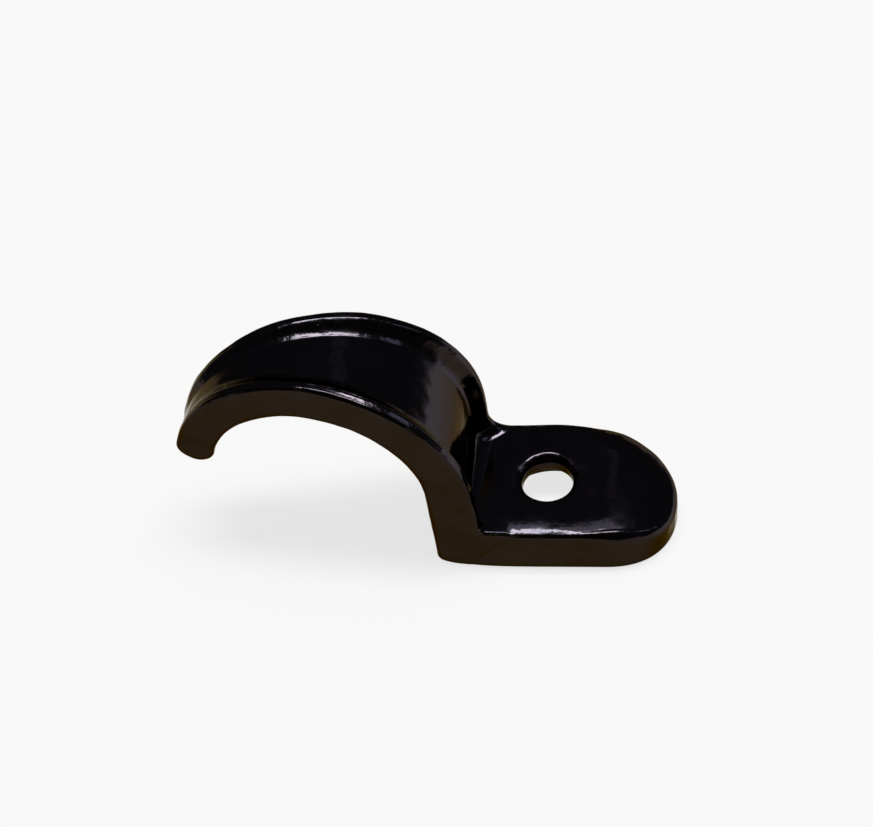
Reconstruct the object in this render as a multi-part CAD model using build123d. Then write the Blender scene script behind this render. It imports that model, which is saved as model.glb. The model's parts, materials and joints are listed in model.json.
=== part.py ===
from build123d import *
import os
from math import atan2, cos, degrees, isclose, radians, sin, tan

# A cast one-hole pipe clip: a hook that goes over a pipe, on a foot for one screw.
# It is a single casting. From the side it is a hook on a flat foot, and from above it is
# widest at the foot and narrows to the hook's free tip. The hook's outer face is a shallow
# channel between two raised rims. The foot's end falls away in a cone about the screw hole,
# and a round recess is cored out beneath the hole.
# The origin is on the pipe's axis, halfway across the clip. +X runs towards the foot's end,
# +Y along the pipe and +Z away from the wall. Sizes are in millimetres and degrees.

# Hook and pipe seat
pipe_diameter = 26.9
seat_clearance = 0.15
axis_height = 12.5
tip_angle = 167.0
leg_thickness = 6.2
tip_thickness = 4.8
strap_width = 18.3
tip_width = 6.8
taper_blend_radius = 40.0
tip_outer_radius = 2.2
tip_inner_radius = 1.7

# Channel in the hook's outer face, between the rims. It runs out towards the tip, the later
# the higher the fade power is.
rim_land = 0.4
channel_depth = 1.6
channel_tip_depth = 0.3
fade_power = 3
flank_run = 2.1
crest_angle = 8.0
crest_radius = 0.7
channel_corner_radius = 2.0
channel_sections = 8

# Leg and foot
hole_to_leg = 7.8
hole_to_end = 16.2
end_corner_radius = 7.6
foot_thickness = 7.1
corner_radius = 1.6
heel_run = 3.0
heel_rise = 0.8
heel_radius = 1.2
land_margin = 0.8
land_edge_radius = 1.5
end_height = 1.5

# Screw hole and the recess beneath it
hole_diameter = 6.4
hole_rim_radius = 0.9
plate_thickness = 2.8
skirt_thickness = 2.5
recess_draft = 6.0
recess_corner_radius = 1.2

# Rounding of all outside edges, kept inside the corners that it runs round
edge_radius = 0.7
edge_round = min(edge_radius, 0.9 * min(tip_outer_radius, tip_inner_radius, heel_radius))

# Places that follow from these sizes
half_width = strap_width / 2
seat_radius = pipe_diameter / 2 + seat_clearance
leg_outer_x = seat_radius + leg_thickness
hole_x = leg_outer_x + hole_to_leg
end_x = hole_x + hole_to_end
wall_z = -axis_height
foot_top_z = wall_z + foot_thickness
at_hole = Pos(hole_x, 0, wall_z)
end_round = min(end_corner_radius, 0.95 * half_width)
land_radius = half_width + land_margin
tip_radius = seat_radius + tip_thickness
tip_x = tip_radius * cos(radians(tip_angle))
tip_z = tip_radius * sin(radians(tip_angle))
outer_arc = TangentArc((leg_outer_x, 0), (tip_x, tip_z), tangent=(0, 1))


def nearest(face, point):
    """The corner of a face that lies at a point."""
    return face.vertices().sort_by_distance(point)[0]


def side_view():
    """The clip seen along the pipe: base, heel, leg, seat arc, tip, outer arc and foot."""
    base = Line((end_x, wall_z), (seat_radius + heel_run, wall_z))
    heel = TangentArc(base @ 1, (seat_radius, wall_z + heel_rise), tangent=(-1, 0))
    leg_inside = Line(heel @ 1, (seat_radius, 0))
    seat = CenterArc((0, 0), seat_radius, 0, tip_angle)
    tip = Line(seat @ 1, outer_arc @ 1)
    leg_outside = Line(outer_arc @ 0, (leg_outer_x, foot_top_z))
    top = Line(leg_outside @ 1, (end_x, foot_top_z))
    end = Line(top @ 1, base @ 0)
    face = make_face([base, heel, leg_inside, seat, tip, outer_arc, leg_outside, top, end])
    face = fillet(nearest(face, tip @ 1), tip_outer_radius)
    face = fillet(nearest(face, tip @ 0), tip_inner_radius)
    return fillet(nearest(face, heel @ 1), heel_radius)


def half_width_at(x):
    """Half the clip's width at a place along X: full up to the leg, then straight to the tip."""
    share = max(0.0, (leg_outer_x - x) / (leg_outer_x - tip_x))
    return half_width - share * (strap_width - tip_width) / 2


def plan_view():
    """The clip seen from above: a round end, parallel sides and a tapering hook."""
    past_tip = tip_x - tip_thickness
    narrow = half_width_at(past_tip)
    outline = Polyline((end_x, -half_width), (leg_outer_x, -half_width), (past_tip, -narrow),
                       (past_tip, narrow), (leg_outer_x, half_width), (end_x, half_width), close=True)
    face = make_face(outline)
    bends = [nearest(face, (leg_outer_x, -half_width)), nearest(face, (leg_outer_x, half_width))]
    face = fillet(bends, taper_blend_radius)
    return fillet([nearest(face, (end_x, -half_width)), nearest(face, (end_x, half_width))], end_round)


def channel_section(x, z, angle, share):
    """The channel cut across the hook, at a point of its outer face and square to it.

    The flanks leave at least two fifths of the width between the crests to the web.
    """
    lip = half_width_at(x)
    crest = lip - edge_round - rim_land
    web = max(crest - flank_run, 0.4 * crest)
    depth = channel_depth - share**fade_power * (channel_depth - channel_tip_depth)
    rise = (lip - crest) * tan(radians(crest_angle))
    flank_angle = atan2(depth, crest - web)
    corner = min(channel_corner_radius, 0.9 * web / tan(flank_angle / 2))
    floor = FilletPolyline((-lip, rise), (-crest, 0), (-web, -depth), (web, -depth), (crest, 0), (lip, rise),
                           radius=[crest_radius, corner, corner, crest_radius])
    lid = Polyline(floor @ 1, (lip, leg_thickness), (-lip, leg_thickness), floor @ 0)
    across = Plane((x, 0, z), x_dir=(0, 1, 0), z_dir=(sin(radians(angle)), 0, -cos(radians(angle))))
    return across * make_face([floor, lid])


def channel():
    """The hollow between the rims, carried up the leg, over the hook and out past its tip."""
    past_tip = tip_angle + degrees(tip_thickness / tip_radius)
    hook = CenterArc(outer_arc.arc_center, outer_arc.radius, 0, past_tip)
    leg = Line((leg_outer_x, foot_top_z), hook @ 0)
    sections = [channel_section(leg_outer_x, foot_top_z, 0, 0)]
    for i in range(channel_sections):
        share = i / (channel_sections - 1)
        point = hook @ share
        sections.append(channel_section(point.X, point.Y, past_tip * share, share))
    return sweep(sections, Plane.XZ * Wire([leg, hook]), multisection=True)


def end_slope():
    """What is turned off the foot's end: a cone about the hole, outside the screw's land."""
    fall = (foot_thickness - end_height) / (hole_to_end - land_radius)
    reach = 2 * hole_to_end
    ramp = Polyline((land_radius, foot_thickness), (reach, foot_thickness - fall * (reach - land_radius)),
                    (reach, foot_thickness), close=True)
    start = Plane.YZ.rotated((0, 0, -180))
    return at_hole * revolve(start * make_face(ramp), Axis.Z, 180)


def recess():
    """The cored hollow under the foot, drafted, with a rounded ceiling corner."""
    depth = foot_thickness - plate_thickness
    mouth = half_width - skirt_thickness
    ceiling = mouth - depth * tan(radians(recess_draft))
    hollow = Cone(mouth, ceiling, depth, align=(Align.CENTER, Align.CENTER, Align.MIN))
    return at_hole * fillet(hollow.edges().sort_by(Axis.Z)[-1], min(recess_corner_radius, 0.9 * depth))


def leg_corner(solid):
    """The inner corner where the leg and its channel stand on the foot."""
    slack = edge_round / 10
    level = solid.edges().filter_by_position(Axis.Z, foot_top_z - slack, foot_top_z + slack)
    return level.filter_by_position(Axis.X, leg_outer_x - channel_depth - slack, leg_outer_x + slack)


def circles(solid, radius):
    """The round edges of a given radius, lowest first."""
    round_edges = solid.edges().filter_by(GeomType.CIRCLE)
    return round_edges.filter_by(lambda edge: isclose(edge.radius, radius)).sort_by(Axis.Z)


height = axis_height + 2 * tip_radius
casting = extrude(Plane.XZ * side_view(), strap_width, both=True)
casting &= Pos(0, 0, wall_z) * extrude(plan_view(), height)
casting -= end_slope()
casting -= channel()
casting = fillet(leg_corner(casting), corner_radius)
casting = fillet(circles(casting, land_radius), land_edge_radius)

# The outline is one smooth chain of edges, so rounding its base arc rounds the whole of it.
casting = fillet(circles(casting, end_round)[0], edge_round)

casting -= at_hole * Cylinder(hole_diameter / 2, 3 * foot_thickness)
casting = fillet(circles(casting, hole_diameter / 2)[-1], min(hole_rim_radius, 0.8 * plate_thickness))
casting -= recess()

os.makedirs("parts", exist_ok=True)
export_step(casting, "parts/pipe_clip.step")
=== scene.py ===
import json

import bpy
import numpy as np
from mathutils import Matrix, Vector


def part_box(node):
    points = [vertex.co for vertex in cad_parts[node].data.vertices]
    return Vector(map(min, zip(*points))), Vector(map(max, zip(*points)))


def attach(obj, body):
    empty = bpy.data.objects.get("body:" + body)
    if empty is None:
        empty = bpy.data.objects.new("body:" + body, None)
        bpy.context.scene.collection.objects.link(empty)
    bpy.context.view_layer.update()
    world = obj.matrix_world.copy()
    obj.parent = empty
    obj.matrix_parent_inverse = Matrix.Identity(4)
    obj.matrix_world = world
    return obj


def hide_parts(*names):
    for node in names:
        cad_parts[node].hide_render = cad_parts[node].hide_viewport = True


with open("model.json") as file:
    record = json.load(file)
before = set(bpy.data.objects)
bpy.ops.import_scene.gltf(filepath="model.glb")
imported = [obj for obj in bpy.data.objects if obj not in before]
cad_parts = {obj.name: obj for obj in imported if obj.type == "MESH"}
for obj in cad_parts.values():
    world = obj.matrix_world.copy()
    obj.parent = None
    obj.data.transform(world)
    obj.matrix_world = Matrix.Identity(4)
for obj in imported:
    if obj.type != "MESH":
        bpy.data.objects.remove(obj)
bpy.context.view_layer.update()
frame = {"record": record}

# The clip's form
# A half saddle cast in iron in one pour: a hook that goes over the pipe, with a raised rim along
# each side of its outer face, a short leg, and a foot with a screw hole cored hollow from below.
# Enamel and the sand mould have left every edge soft. The front is at -Y and the back at +Y.
mm = 0.001
clip_low, clip_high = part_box("pipe_clip")
mounts = {mount["name"]: mount for mount in frame["record"]["mounts"]}
seat_radius = mounts["pipe_seat"]["dims"]["r_mm"] * mm
hole_radius = mounts["screw_hole"]["dims"]["r_mm"] * mm
hole_x = mounts["screw_hole"]["pos_m"][0]
wall_z = clip_low.z
half_width = clip_high.y
foot_end_x = clip_high.x

# The hook's two arcs, which end at the tip, and its taper in plan.
leg_thickness = 6.2 * mm
leg_x = seat_radius + leg_thickness
hook_radius = clip_high.z
hook_x = leg_x - hook_radius
hook_turn = np.radians(161.4)
seat_turn = np.radians(157.4)
tip_half_width = 3.32 * mm
tip_sway = -0.82 * mm
taper_bend = 1.5 * mm
tip_out = np.array((hook_x + hook_radius * np.cos(hook_turn), hook_radius * np.sin(hook_turn)))
tip_in = seat_radius * np.array((np.cos(seat_turn), np.sin(seat_turn)))
taper = (half_width - tip_half_width) / (leg_x - hook_x + hook_radius)
sway = tip_sway / (leg_x - hook_x + hook_radius)

# Edges, channel and rims. A station u is a place along the strap: 0 to 1 on the foot, to 2 round the
# inside corner, to 3 up the leg, to 4 over the hook and to 5 round the nose. Names that end in span
# are lengths in stations. Down a side wall, 0 to 1 is the outer edge, to 2 the flat and to 3 the inner
# edge.
outer_edge = 0.68 * mm
inner_edge = 0.8 * mm
wall_middle = 1.5
nose_edge = 1.3 * mm
nose_edge_span = 0.75
channel_depth = 1.35 * mm
channel_tip_depth = 0.15 * mm
channel_fade = 3.0
leg_depth = 1.9 * mm
leg_depth_span = 0.45
flank_run = 2.7 * mm
flank_share = 0.7
crest_land = 0.3 * mm
crest_roll = 0.3 * mm
crest_run = 1.3 * mm
crest_start = 2.6
crest_start_span = 0.6
crest_stop = 3.41
crest_stop_span = 0.15

# The inside corner, the heel and the foot.
foot_thickness = 7.1 * mm
foot_top_z = wall_z + foot_thickness
corner_front = 0.9 * mm
corner_back = 2.8 * mm
corner_margin = 0.2 * mm
foot_start_x = leg_x + corner_back + corner_margin
heel_run = 2.8 * mm
heel_x = seat_radius + heel_run
heel_radius = 6.05 * mm
heel_corner = 1.2 * mm
base_margin = 1.3 * mm
base_start_x = heel_x + base_margin
hole_to_slope = 8.6 * mm
slope_x = hole_x + hole_to_slope
slope_bend = 0.6 * mm
front_roll = 0.57 * mm
back_roll = 0.1 * mm
side_run = 2.4 * mm
roll_start_run = 1 * mm
end_front_roll = 0.55 * mm
end_back_roll = 1.6 * mm
end_front_run = 4.5 * mm
end_back_run = 5.0 * mm
end_roll_delay = 2 * mm
end_roll_reach = 9 * mm
end_height = 4.6 * mm
end_edge = 1.6 * mm
end_edge_delay = 3 * mm
end_edge_reach = 8 * mm
end_square_front = 2.36
end_square_back = 1.97
end_fall = (foot_thickness - end_height) / (foot_end_x - slope_x)
round_x = foot_end_x - half_width

# The screw hole and the recess beneath it.
hole_rim = 1.25 * mm
hole_lip = 0.8 * mm
plate_thickness = 2.8 * mm
skirt_thickness = 2.5 * mm
recess_mouth = half_width - skirt_thickness
recess_draft = np.tan(np.radians(6.0))
recess_corner = 1.2 * mm
mouth_rim = 0.3 * mm


def smooth(x):
    """A step from 0 to 1 with level ends: 3 x squared less 2 x cubed, for x held within 0 and 1."""
    x = np.clip(x, 0, 1)
    return x * x * (3 - 2 * x)


def soft_ramp(run, bend):
    """Nothing before zero and a straight rise after it, the bend rounded: b log(1 + exp(run / b))."""
    return bend * np.logaddexp(0, run / bend)


def half_width_at(x):
    """Half the clip's width at a place along X: full at the foot, then a straight taper to the tip."""
    return half_width - taper * soft_ramp(leg_x - x, taper_bend)


def middle_at(x):
    """The middle of the width at a place along X: the tip has come out a little to the front."""
    return sway * soft_ramp(leg_x - x, taper_bend)


def nose(u, side):
    """The round end of the hook from the side, and the way that it faces: half a circle on the line
    between the seat and the outer arc, from the outer end (side 1) or the inner end (side -1) to its
    middle, for u from 4 to 5."""
    turn = np.clip(u - 4, 0, 1) * np.pi / 2
    middle, half = (tip_out + tip_in) / 2, (tip_out - tip_in) / 2
    radius = np.hypot(*half)
    step_x = side * half[0] * np.cos(turn) - half[1] * np.sin(turn)
    step_z = side * half[1] * np.cos(turn) + half[0] * np.sin(turn)
    return middle[0] + step_x, middle[1] + step_z, step_x / radius, step_z / radius


def outer_line(u, corner):
    """The clip's outer line from the side, and the way that it faces. It runs back along the foot
    (0 to 1), round the inside corner (1 to 2), up the leg (2 to 3), over the hook in an arc (3 to 4)
    and round the nose."""
    bend = np.clip(u - 1, 0, 1) * np.pi / 2
    turn = np.clip(u - 3, 0, 1) * hook_turn
    face = np.where(u < 3, np.pi / 2 - bend, turn)
    nose_x, nose_z, nose_face_x, nose_face_z = nose(u, 1)
    foot_x = foot_start_x + (leg_x + corner - foot_start_x) * u
    corner_x = leg_x + corner * (1 - np.sin(bend))
    corner_z = foot_top_z + corner * (1 - np.cos(bend))
    leg_z = (foot_top_z + corner) * (3 - u)
    arc_x = hook_x + hook_radius * np.cos(turn)
    arc_z = hook_radius * np.sin(turn)
    parts = [u < 1, u < 2, u < 3, u <= 4]
    x = np.select(parts, [foot_x, corner_x, leg_x, arc_x], nose_x)
    z = np.select(parts, [foot_top_z, corner_z, leg_z, arc_z], nose_z)
    return x, z, np.where(u > 4, nose_face_x, np.cos(face)), np.where(u > 4, nose_face_z, np.sin(face))


def inner_line(u):
    """The clip's inner line from the side, and the way that it faces: along the base (0 to 1), up the
    heel in two arcs (1 to 2), up the leg (2 to 3), round the pipe's seat (3 to 4) and round the nose."""
    meet = np.arcsin((heel_x - seat_radius - heel_corner) / (heel_radius - heel_corner))
    bend = np.clip(u - 1, 0, 1) * np.pi / 2
    centre_x = np.where(bend < meet, heel_x, seat_radius + heel_corner)
    centre_drop = np.where(bend < meet, 0, (heel_radius - heel_corner) * np.cos(meet))
    radius = np.where(bend < meet, heel_radius, heel_corner)
    turn = np.clip(u - 3, 0, 1) * seat_turn
    face = np.where(u < 3, -np.pi / 2 - bend, turn + np.pi)
    nose_x, nose_z, nose_face_x, nose_face_z = nose(u, -1)
    base_x = base_start_x + (heel_x - base_start_x) * u
    bend_x = centre_x - radius * np.sin(bend)
    bend_z = wall_z + heel_radius - centre_drop - radius * np.cos(bend)
    leg_z = (wall_z + heel_radius - (heel_radius - heel_corner) * np.cos(meet)) * (3 - u)
    arc_x = seat_radius * np.cos(turn)
    arc_z = seat_radius * np.sin(turn)
    parts = [u < 1, u < 2, u < 3, u <= 4]
    x = np.select(parts, [base_x, bend_x, seat_radius, arc_x], nose_x)
    z = np.select(parts, [wall_z, bend_z, leg_z, arc_z], nose_z)
    return x, z, np.where(u > 4, nose_face_x, np.cos(face)), np.where(u > 4, nose_face_z, np.sin(face))


def edge_at(u, edge):
    """The rounding of an edge at a station: its own along the strap, then going over to the nose's."""
    return edge + (nose_edge - edge) * smooth((u - 4) / nose_edge_span)


def crest_sink(u, inward):
    """How far the front rim's crest has sunk towards its edge: the square of the way into the roll,
    from the leg to just short of the hook's top, and nothing at the foot and at the tip."""
    starting = smooth((u - crest_start) / crest_start_span)
    stopping = 1 - smooth((u - crest_stop) / crest_stop_span)
    return crest_roll * (starting * stopping) * np.clip(1 - inward / crest_run, 0, 1) ** 2


def outer_face(u, across):
    """The outer face at a station u and a share of the width from -1 to 1. Between the rims it is let
    in by a channel whose flanks are steep at the rims and soft at the web: 1 less (1 - t) cubed times
    (1 + 3 t). It is deepest at the leg, and runs out at the tip."""
    corner = corner_front + (corner_back - corner_front) * (1 + across) / 2
    x, z, face_x, face_z = outer_line(u, corner)
    room = half_width_at(x) - edge_at(u, outer_edge)
    depth = channel_depth - np.clip(u - 3, 0, 1) ** channel_fade * (channel_depth - channel_tip_depth)
    at_leg = 1 - smooth((u - 3) / leg_depth_span)
    depth = (depth + (leg_depth - channel_depth) * at_leg) * (1 - smooth(u - 4))
    flank = np.minimum(flank_run, flank_share * room)
    way_in = np.clip((room * (1 - np.abs(across)) - crest_land) / flank, 0, 1)
    let_in = depth * (1 - (1 - way_in) ** 3 * (1 + 3 * way_in))
    sink = crest_sink(u, room * (1 + across))
    way_x = np.where(u < 3, smooth(u), face_x)
    way_z = np.where(u < 3, 0, face_z)
    x, z = x - sink * face_x, z - sink * face_z
    y = across * (half_width_at(x) - edge_at(u, outer_edge)) + middle_at(x)
    return np.stack((x - let_in * way_x, y, z - let_in * way_z), axis=-1)


def inner_face(u, across):
    """The inner face at a station u, from the front edge to the back edge: plain across the width."""
    x, z, _, _ = inner_line(u)
    y = across * (half_width_at(x) - edge_at(u, inner_edge)) + middle_at(x)
    return np.stack((x + 0 * y, y, z + 0 * y), axis=-1)


def side_face(u, down, hand, corner):
    """One side wall at a station u, from the outer edge (0) round its quarter circle (to 1), down the
    flat of the wall (to 2) and round the inner edge (to 3). Its hand is -1 at the front and 1 at the
    back. The wall is upright, so its width follows the plan's taper."""
    outer_x, outer_z, out_x, out_z = outer_line(u, corner)
    inner_x, inner_z, in_x, in_z = inner_line(u)
    turn = np.select([down < 1, down > 2], [down, 3 - down], 1) * np.pi / 2
    edge = np.where(down < wall_middle, edge_at(u, outer_edge), edge_at(u, inner_edge))
    sink = crest_sink(u, 0) if hand < 0 else 0
    outer_drop = edge_at(u, outer_edge) * np.where(down < 1, 1 - np.cos(turn), 1) + sink
    inner_drop = edge_at(u, inner_edge) * np.where(down > 2, 1 - np.cos(turn), 1)
    share = np.clip(down - 1, 0, 1)
    x = (1 - share) * (outer_x - outer_drop * out_x) + share * (inner_x - inner_drop * in_x)
    z = (1 - share) * (outer_z - outer_drop * out_z) + share * (inner_z - inner_drop * in_z)
    y = hand * (half_width_at(x) - edge * (1 - np.sin(turn))) + middle_at(x)
    return np.stack((x, y, z), axis=-1)


def foot_top(x, y):
    """The foot's upper face: level about the hole, then a plain slope that falls to the foot's end.
    Near the edge the face rolls off as the square of the way into the roll, most of all at the back of
    the end."""
    at_end = np.clip((x - round_x) / half_width, 0, 1)
    square = np.where(y < 0, end_square_front, end_square_back)
    inward = half_width * (1 - (at_end ** square + np.abs(y / half_width) ** square) ** (1 / square))
    toward_back = smooth(0.5 + 0.5 * y / half_width)
    toward_end = smooth((x - hole_x - end_roll_delay * (1 - toward_back)) / end_roll_reach)
    side_fall = front_roll + (back_roll - front_roll) * toward_back
    end_roll = end_front_roll + (end_back_roll - end_front_roll) * toward_back
    end_run = end_front_run + (end_back_run - end_front_run) * toward_back
    fall = side_fall + (end_roll - side_fall) * toward_end
    run = side_run + (end_run - side_run) * toward_end
    roll = fall * smooth((x - foot_start_x) / roll_start_run) * np.clip(1 - inward / run, 0, 1) ** 2
    return foot_top_z - end_fall * soft_ramp(x - slope_x, slope_bend) - roll


# The strap from the foot to the tip and round its nose.
across_count = 61
edge_count = 8
wall_count = 14
station_steps = (3, 15, 13, 149, 17)
across = np.linspace(1, -1, across_count)
edge_steps = np.linspace(0, 1, edge_count)
wall_steps = np.linspace(1, 2, wall_count)
down = np.concatenate((edge_steps, wall_steps[1:-1], 2 + edge_steps))
station_runs = [np.linspace(start, start + 1, steps, endpoint=False)
                for start, steps in enumerate(station_steps)]
stations = np.concatenate(station_runs + [[len(station_steps)]])[:, None]
outer_sheet = outer_face(stations, across)
inner_sheet = inner_face(stations, across)
front_sheet = side_face(stations, down, -1, corner_front)
back_sheet = side_face(stations, down, 1, corner_back)

# The foot: a band of side wall round it, its upper face and base as rings about the screw hole, and the
# hole with the recess beneath it, turned about the hole's axis.
end_count = 90
side_count = 34
quarter_count = 9
ring_count = 30
base_ring_step = 3
end_turn = np.linspace(-np.pi / 2, np.pi / 2, end_count)[1:-1]


def foot_outline(start_x):
    """The foot's outline in plan from the front of the leg round the end to the back, and the way that
    it faces. The end is a rounded square: the powers of x and y add up to one."""
    run = np.linspace(start_x, round_x, side_count)
    square = np.where(end_turn < 0, end_square_front, end_square_back)
    hand, sine, cosine = np.sign(end_turn), np.abs(np.sin(end_turn)), np.cos(end_turn)
    x = np.concatenate((run, round_x + half_width * cosine ** (2 / square), run[::-1]))
    y = np.concatenate((-half_width_at(run), half_width * (hand * sine ** (2 / square)),
                        half_width_at(run[::-1])))
    end_face = np.arctan2(hand * sine ** (2 - 2 / square), cosine ** (2 - 2 / square))
    face = np.concatenate((np.full(side_count, -np.pi / 2), end_face, np.full(side_count, np.pi / 2)))
    return x, y, np.cos(face), np.sin(face)


def foot_band(down):
    """The foot's side wall: the upper edge is an arc that touches both the sloping top and the wall,
    then comes the flat of the wall and a quarter circle at the base."""
    x, y, face_x, face_y = foot_outline(foot_start_x)
    base_x, base_y, _, _ = foot_outline(base_start_x)
    probe = outer_edge / 2
    top = foot_top(x, y)
    slope = np.arctan((foot_top(x - probe * face_x, y - probe * face_y) - top) / probe)
    toward_end = smooth((x - hole_x - end_edge_delay) / end_edge_reach)
    top_edge = outer_edge + (end_edge - outer_edge) * toward_end
    tangent = top_edge * np.tan((np.pi / 2 - slope) / 2)
    d = down[:, None]
    turn = np.where(d < 1, slope + (np.pi / 2 - slope) * d, np.clip(3 - d, 0, 1) * np.pi / 2)
    edge = np.where(d < wall_middle, top_edge, inner_edge)
    inset = edge * (1 - np.sin(turn))
    share = np.clip(d - 1, 0, 1)
    upper = top - tangent + top_edge * np.cos(turn)
    lower = wall_z + inner_edge * (1 - np.cos(turn))
    wall = (1 - share) * (top - tangent) + share * (wall_z + inner_edge)
    z = np.where(d < 1, upper, np.where(d > 2, lower, wall))
    px = (1 - share) * x + share * base_x - inset * face_x
    py = (1 - share) * y + share * base_y - inset * face_y
    return np.stack((px, py, z), axis=-1)


band_sheet = foot_band(down)
band_sheet[:, 0] = front_sheet[0]
band_sheet[:, -1] = back_sheet[0]
top_ring = np.concatenate((outer_sheet[0], band_sheet[0, 1:]))
base_ring = np.concatenate((inner_sheet[0], band_sheet[-1, 1:]))
bearing = np.arctan2(top_ring[:, 1], top_ring[:, 0] - hole_x)

quarter = np.linspace(0, np.pi / 2, quarter_count)
opening = 1 - np.cos(quarter)
closing = 1 - np.sin(quarter)
recess_top = foot_top_z - plate_thickness
recess_wall = recess_mouth - recess_draft * (recess_top - recess_corner - wall_z)
hole_profile = np.concatenate((
    np.stack((hole_radius + hole_rim * closing, foot_top_z - hole_rim * opening), axis=1),
    np.stack((hole_radius + hole_lip * opening, recess_top + hole_lip * closing), axis=1),
    np.stack((recess_wall - recess_corner * closing, recess_top - recess_corner * opening), axis=1),
    np.stack((recess_mouth + mouth_rim * opening, wall_z + mouth_rim * closing), axis=1),
))
hole_out, hole_z = hole_profile[:, :1], hole_profile[:, 1:]
hole_sheet = np.stack((hole_x + hole_out * np.cos(bearing), hole_out * np.sin(bearing),
                       np.repeat(hole_z, len(bearing), axis=1)), axis=-1)
ring_share = np.linspace(0, 1, ring_count)[:, None, None]
top_sheet = (1 - ring_share) * top_ring + ring_share * hole_sheet[0]
top_sheet[1:-1, :, 2] = foot_top(top_sheet[1:-1, :, 0], top_sheet[1:-1, :, 1])
base_share = ring_share[::base_ring_step]
base_sheet = (1 - base_share) * hole_sheet[-1] + base_share * base_ring
base_sheet = np.concatenate((base_sheet, base_ring[None]))

weld_distance = 1e-4 * mm


def joined(sheets):
    """One shell from grids of points: a four-cornered face for each cell, with the points that two
    grids share made one."""
    points = []
    faces = []
    count = 0
    for sheet in sheets:
        rows, columns = sheet.shape[:2]
        index = count + np.arange(rows * columns).reshape(rows, columns)
        cells = (index[:-1, :-1], index[1:, :-1], index[1:, 1:], index[:-1, 1:])
        faces.append(np.stack(cells, axis=-1).reshape(-1, 4))
        points.append(sheet.reshape(-1, 3))
        count += rows * columns
    points = np.concatenate(points)
    grid = np.round(points / weld_distance)
    _, first, place = np.unique(grid, axis=0, return_index=True, return_inverse=True)
    return points[first], place.reshape(-1)[np.concatenate(faces)]


points, faces = joined((outer_sheet, front_sheet, inner_sheet[:, ::-1], back_sheet[:, ::-1], band_sheet,
                        top_sheet[:, ::-1], hole_sheet[:, ::-1], base_sheet[:, ::-1]))

# The sand mould has left the casting slightly uneven: long shallow waves with a finer grain on them,
# which die out at the base, where the casting has been ground flat. Ranges of length and heights of waves
# and grain are in millimetres.
sand = np.random.default_rng(4)
wave_count = 26
wave_range = (5, 14)
wave_height = 0.007
grain_count = 30
grain_range = (1.6, 3.2)
grain_height = 0.0022
ground_height = 1.5 * mm
wave_lengths = np.concatenate((sand.uniform(*wave_range, wave_count),
                               sand.uniform(*grain_range, grain_count))) * mm
wave_heights = np.repeat((wave_height, grain_height), (wave_count, grain_count)) * mm


def casting_waves(points):
    """A sum of sine waves through the solid, each with its own way, length and phase."""
    ways = sand.normal(size=(len(wave_lengths), 3))
    ways /= np.linalg.norm(ways, axis=1, keepdims=True)
    phases = sand.uniform(0, 2 * np.pi, len(wave_lengths))
    return np.sin(points @ (ways * (2 * np.pi / wave_lengths)[:, None]).T + phases) @ wave_heights


def facing(points, faces):
    """The way that the shell faces at each point: the sum of its faces' normals, made one long."""
    corners = points[faces]
    normals = np.cross(corners[:, 2] - corners[:, 0], corners[:, 3] - corners[:, 1])
    total = np.zeros_like(points)
    for corner in range(4):
        np.add.at(total, faces[:, corner], normals)
    return total / np.maximum(np.linalg.norm(total, axis=1, keepdims=True), 1e-20)


above_base = smooth((points[:, 2] - wall_z) / ground_height)
points = points + facing(points, faces) * (casting_waves(points) * above_base)[:, None]

# Where two corners of a cell have become one point, the cell is a triangle, and where more have, it is
# left out.
kept = faces != np.roll(faces, 1, axis=1)
corner_count = kept.sum(axis=1)
squares = faces[corner_count == 4].tolist()
triangles = faces[corner_count == 3][kept[corner_count == 3]].reshape(-1, 3).tolist()
clip_mesh = bpy.data.meshes.new("clip_casting")
clip_mesh.from_pydata(points.tolist(), [], squares + triangles)
clip_mesh.polygons.foreach_set("use_smooth", np.ones(len(clip_mesh.polygons), dtype=bool))
clip = bpy.data.objects.new("clip_casting", clip_mesh)
bpy.context.scene.collection.objects.link(clip)
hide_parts("pipe_clip")
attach(clip, "root")

# The clip's enamel
# Gloss black enamel, dipped on and stoved. It is thick and glassy with a faint orange peel, holds a few
# nibs of dust, and is duller where hands and a box have rubbed it. Black enamel gives back no light but
# its gloss, so its colours are set as the gloss's, straight on and at a glancing angle, as a metal's are.
# The violet and blue straight on are the enamel's own. The brown on the upright sides and the brown,
# weakened gloss at a glancing angle are painted reflection of a brown surface. Heights are in metres.
enamel_violet = (0.0475, 0.0405, 0.0490, 1)
enamel_blue = (0.0440, 0.0425, 0.0515, 1)
# Painted reflection: the brown gloss of the upright sides stands for a brown surface mirrored in them.
reflected_brown = (0.0190, 0.0124, 0.0078, 1)
# Painted reflection: the brown, weakened gloss at a glancing angle stands for a dim brown surface
# mirrored there.
painted_glancing_reflection = (0.50, 0.45, 0.36, 1)
enamel_roughness = 0.12
rubbed_roughness = 0.10
peel_height = 0.000018
ripple_height = 0.00005
nib_height = 0.000025
edge_height = 0.00008
nib_scale = 560.0


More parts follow.
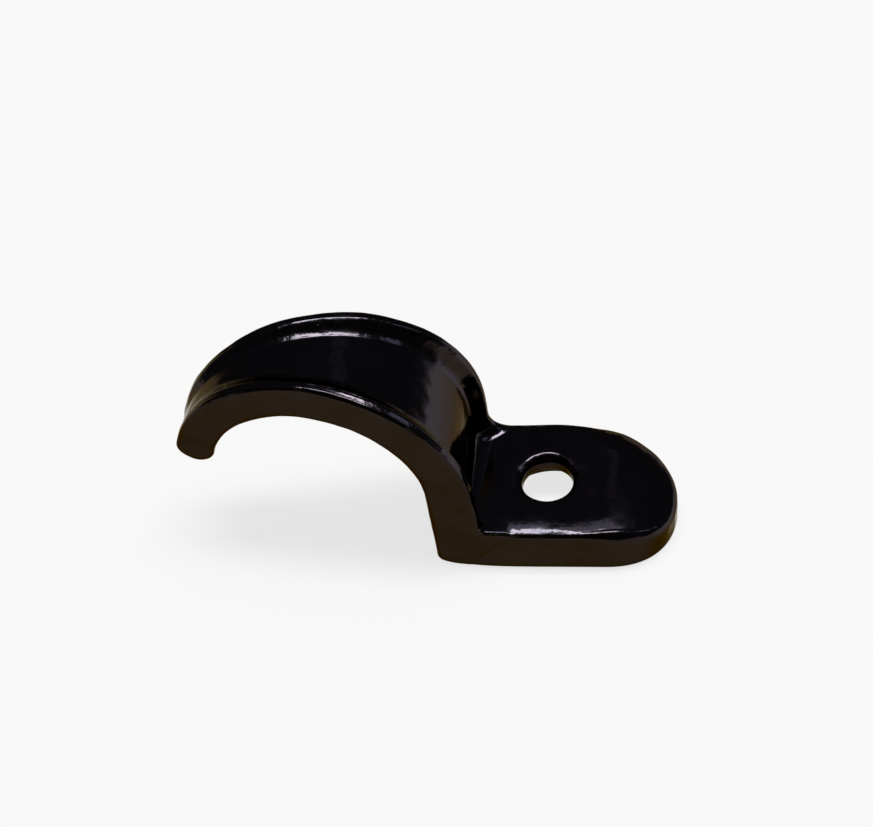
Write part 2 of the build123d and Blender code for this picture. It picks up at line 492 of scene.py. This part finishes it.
class Wire:
    """A socket in a material. Sums and products of wires, and a number less a wire, add the nodes that
    work them out."""

    def __init__(self, tree, socket=None):
        self.tree = tree
        self.socket = socket

    def node(self, kind, settings=None, inputs=None, output=0):
        """Add a node, its settings first and then its sockets' values or links, and give an output."""
        made = self.tree.nodes.new(kind)
        for name, value in (settings or {}).items():
            setattr(made, name, value)
        for name, value in (inputs or {}).items():
            if isinstance(value, Wire):
                self.tree.links.new(value.socket, made.inputs[name])
            else:
                made.inputs[name].default_value = value
        return Wire(self.tree, made.outputs[output] if made.outputs else None)

    def maths(self, operation, first, second):
        """What one operation makes of two values."""
        return self.node("ShaderNodeMath", {"operation": operation}, {0: first, 1: second})

    def between(self, low, high):
        """A smooth step from 0 to 1 as this wire's value goes from low to high."""
        settings = {"interpolation_type": "SMOOTHSTEP"}
        inputs = {"Value": self, "From Min": low, "From Max": high}
        return self.node("ShaderNodeMapRange", settings, inputs)

    def blend(self, first, second):
        """A colour that goes from the first to the second as this wire's value goes from 0 to 1."""
        first_colour, second_colour, mixed_colour = 6, 7, 2
        inputs = {"Factor": self, first_colour: first, second_colour: second}
        return self.node("ShaderNodeMix", {"data_type": "RGBA"}, inputs, output=mixed_colour)

    def __add__(self, other):
        return self.maths("ADD", self, other)

    __radd__ = __add__

    def __rsub__(self, other):
        return self.maths("SUBTRACT", other, self)

    def __mul__(self, other):
        return self.maths("MULTIPLY", self, other)

    __rmul__ = __mul__


def new_material(name):
    """An empty material and a wire to begin its nodes from."""
    material = bpy.data.materials.new(name)
    material.use_nodes = True
    material.node_tree.nodes.clear()
    return material, Wire(material.node_tree)


enamel, coat = new_material("black_enamel")
in_clip = coat.node("ShaderNodeTexCoord", output="Object")


def noise(scale, detail, roughness=0.5):
    """Soft noise through the solid, at so many waves to the metre."""
    inputs = {"Vector": in_clip, "Scale": scale, "Detail": detail, "Roughness": roughness}
    return coat.node("ShaderNodeTexNoise", {}, inputs, output="Fac")


# Painted reflection: where the clip faces front or back, on its upright walls and the steeper flanks of
# its rims, the gloss is given a brown colour that stands for a brown surface mirrored there. This also
# dims the flanks' gloss as painted shade.
normal = coat.node("ShaderNodeTexCoord", output="Normal")
facing_y = coat.node("ShaderNodeSeparateXYZ", {}, {"Vector": normal}, output="Y")
sideways = coat.maths("ABSOLUTE", facing_y, 0)
painted_brown_reflection_mask = sideways.between(0.28, 0.80) * (0.78 + 0.3 * noise(140, 3))
black = noise(230, 3).between(0.36, 0.64).blend(enamel_violet, enamel_blue)
tint = painted_brown_reflection_mask.blend(black, reflected_brown)

# Nibs are specks of dust caught under the enamel: one in each cell of a cell pattern, where the cell's
# random value lets it stand.
nib_cells = {"Vector": in_clip, "Scale": nib_scale}
nib_distance = coat.node("ShaderNodeTexVoronoi", {}, nib_cells, output="Distance")
nib_colour = coat.node("ShaderNodeTexVoronoi", {}, nib_cells, output="Color")
nib_chance = coat.node("ShaderNodeSeparateColor", {}, {"Color": nib_colour}, output="Red")
nibs = (1 - nib_distance.between(0.02, 0.13)) * nib_chance.between(0.62, 0.92)

# The peel and a longer ripple lie all over, and the rounded edges, where the enamel has drawn back, are
# rougher.
rubbed = noise(170, 4, 0.6).between(0.50, 0.74)
edges = sideways.between(0.10, 0.30) * (1 - sideways.between(0.60, 0.85))
height = peel_height * noise(1000, 2) + ripple_height * noise(260, 1) + nib_height * nibs
height = height + edge_height * edges * noise(800, 2)
relief = coat.node("ShaderNodeBump", {}, {"Strength": 1.0, "Distance": 1.0, "Height": height})
surface = coat.node("ShaderNodeBsdfPrincipled", {}, {
    "Base Color": tint,
    "Metallic": 1.0,
    # The glancing colour is a painted reflection of a dim brown surface.
    "Specular Tint": painted_glancing_reflection,
    "Roughness": enamel_roughness + rubbed_roughness * rubbed,
    "Normal": relief,
})
coat.node("ShaderNodeOutputMaterial", {}, {"Surface": surface})
clip_mesh.materials.append(enamel)

# The floor
# A plain sheet of white card that goes over to grey away from the clip, and is turned up at its edge all
# round. Seen straight or mirrored, it is part lit and part its own white. Its rings lie closer together
# near the clip.
floor_colour = (0.92, 0.91, 0.89, 1)
floor_grey = (0.30, 0.30, 0.31, 1)
floor_own_white = 0.76
floor_white_reach = 0.14
floor_grey_reach = 0.34
floor_radius = 5.0
floor_rise = 1.2
floor_gap = 0.02 * mm
floor_z = wall_z - floor_gap
floor_ring_count = 48
floor_ring_power = 1.5
floor_side_count = 96
floor_rings = np.linspace(0, 1, floor_ring_count)[1:, None] ** floor_ring_power
floor_bearings = np.linspace(0, 2 * np.pi, floor_side_count + 1)[None, :-1]


def card(ring, bearing):
    """A round card: level to two thirds of its reach, then rising as the square of what is left."""
    reach = floor_radius * ring
    z = floor_z + floor_rise * (np.clip(ring - 2 / 3, 0, 1) * 3) ** 2
    return np.stack((reach * np.cos(bearing), reach * np.sin(bearing), z + 0 * bearing), axis=-1)


card_centre = np.array([[0, 0, floor_z]])
card_points = np.concatenate((card_centre, card(floor_rings, floor_bearings).reshape(-1, 3)))
ring_index = 1 + np.arange(len(floor_rings) * floor_bearings.size).reshape(len(floor_rings), -1)
ring_next = np.roll(ring_index, -1, axis=1)
card_middle = np.stack((np.zeros_like(ring_index[0]), ring_index[0], ring_next[0]), axis=-1)
card_cells = np.stack((ring_index[:-1], ring_index[1:], ring_next[1:], ring_next[:-1]), axis=-1)
floor_mesh = bpy.data.meshes.new("floor")
card_faces = card_middle.tolist() + card_cells.reshape(-1, 4).tolist()
floor_mesh.from_pydata(card_points.tolist(), [], card_faces)
floor_mesh.polygons.foreach_set("use_smooth", np.ones(len(floor_mesh.polygons), dtype=bool))
floor_paper, sheet = new_material("floor_card")
in_floor = sheet.node("ShaderNodeTexCoord", output="Object")
from_clip = sheet.node("ShaderNodeVectorMath", {"operation": "LENGTH"}, {0: in_floor}, output="Value")
fade = from_clip.between(floor_white_reach, floor_grey_reach)
paper = sheet.node("ShaderNodeBsdfDiffuse", {}, {"Color": fade.blend(floor_colour, floor_grey)})
white = sheet.node("ShaderNodeEmission", {}, {"Color": (1, 1, 1, 1), "Strength": 1.0})
camera_ray = sheet.node("ShaderNodeLightPath", output="Is Camera Ray")
glossy_ray = sheet.node("ShaderNodeLightPath", output="Is Glossy Ray")
passing_ray = sheet.node("ShaderNodeLightPath", output="Is Transmission Ray")
seen = sheet.maths("MINIMUM", camera_ray + glossy_ray + passing_ray, 1)
own_white = floor_own_white * (1 - fade) * seen
lit = sheet.node("ShaderNodeMixShader", {}, {0: own_white, 1: paper, 2: white})
sheet.node("ShaderNodeOutputMaterial", {}, {"Surface": lit})
floor_mesh.materials.append(floor_paper)
floor = bpy.data.objects.new("floor", floor_mesh)
bpy.context.scene.collection.objects.link(floor)

# The light
# A long soft box overhead, which lies along the clip, with a dimmer rim round it, two faint cool cards,
# one at the right and one behind, and a dim room.
room_colour = (0.92, 0.88, 1.0, 1)
room_strength = 0.055


def soft_box(name, way, distance, size, radiance, colour):
    """A rectangular lamp that looks at the clip from a way off. Its power is radiance times pi times
    its area."""
    away = Vector(way).normalized()
    along = (Vector((1, 0, 0)) - away.x * away).normalized()
    data = bpy.data.lights.new(name, "AREA")
    data.shape = "RECTANGLE"
    data.size, data.size_y = size
    data.energy = radiance * np.pi * size[0] * size[1]
    data.color = colour
    lamp = bpy.data.objects.new(name, data)
    turn = Matrix((along, away.cross(along), away)).transposed().to_4x4()
    lamp.matrix_world = Matrix.Translation(away * distance) @ turn
    bpy.context.scene.collection.objects.link(lamp)


soft_box("overhead", (0.10, 0.06, 0.98), 3.0, (2.4, 0.6), 14, (1.0, 0.985, 0.96))
soft_box("overhead_rim", (0.12, 0.11, 0.98), 3.1, (2.9, 2.0), 1.1, (0.90, 0.90, 1.0))
soft_box("right_card", (0.80, 0.10, 0.58), 3.0, (0.9, 0.6), 1.0, (0.75, 0.82, 1.0))
soft_box("back_card", (0.13, 0.65, 0.75), 3.0, (0.5, 0.4), 0.08, (0.80, 0.82, 1.0))
world = bpy.data.worlds.new("room")
world.use_nodes = True
room = world.node_tree.nodes["Background"]
room.inputs["Color"].default_value = room_colour
room.inputs["Strength"].default_value = room_strength
bpy.context.scene.world = world

# The camera
# It looks down on the clip from the front and a little to the right, with a slight roll.
camera_azimuth = np.radians(13.917)
camera_elevation = np.radians(47.978)
camera_roll = np.radians(-10.967)
camera_distance = 207.25 * mm
camera_target = np.array((15.087, 0, 7.015)) * mm
focal_pixels = 1700
image_width = 873
back = np.array((np.sin(camera_azimuth) * np.cos(camera_elevation),
                 -np.cos(camera_azimuth) * np.cos(camera_elevation), np.sin(camera_elevation)))
level = np.array((np.cos(camera_azimuth), np.sin(camera_azimuth), 0))
upright = np.cross(back, level)
right = np.cos(camera_roll) * level + np.sin(camera_roll) * upright
camera_data = bpy.data.cameras.new("camera")
camera_data.sensor_width = 36
camera_data.lens = camera_data.sensor_width * focal_pixels / image_width
camera_data.clip_start = 0.01
camera = bpy.data.objects.new("camera", camera_data)
axes = Matrix((right, np.cross(back, right), back)).transposed().to_4x4()
camera.matrix_world = Matrix.Translation(camera_target + back * camera_distance) @ axes
bpy.context.scene.collection.objects.link(camera)
bpy.context.scene.camera = camera

bpy.context.scene.view_settings.view_transform = "Standard"
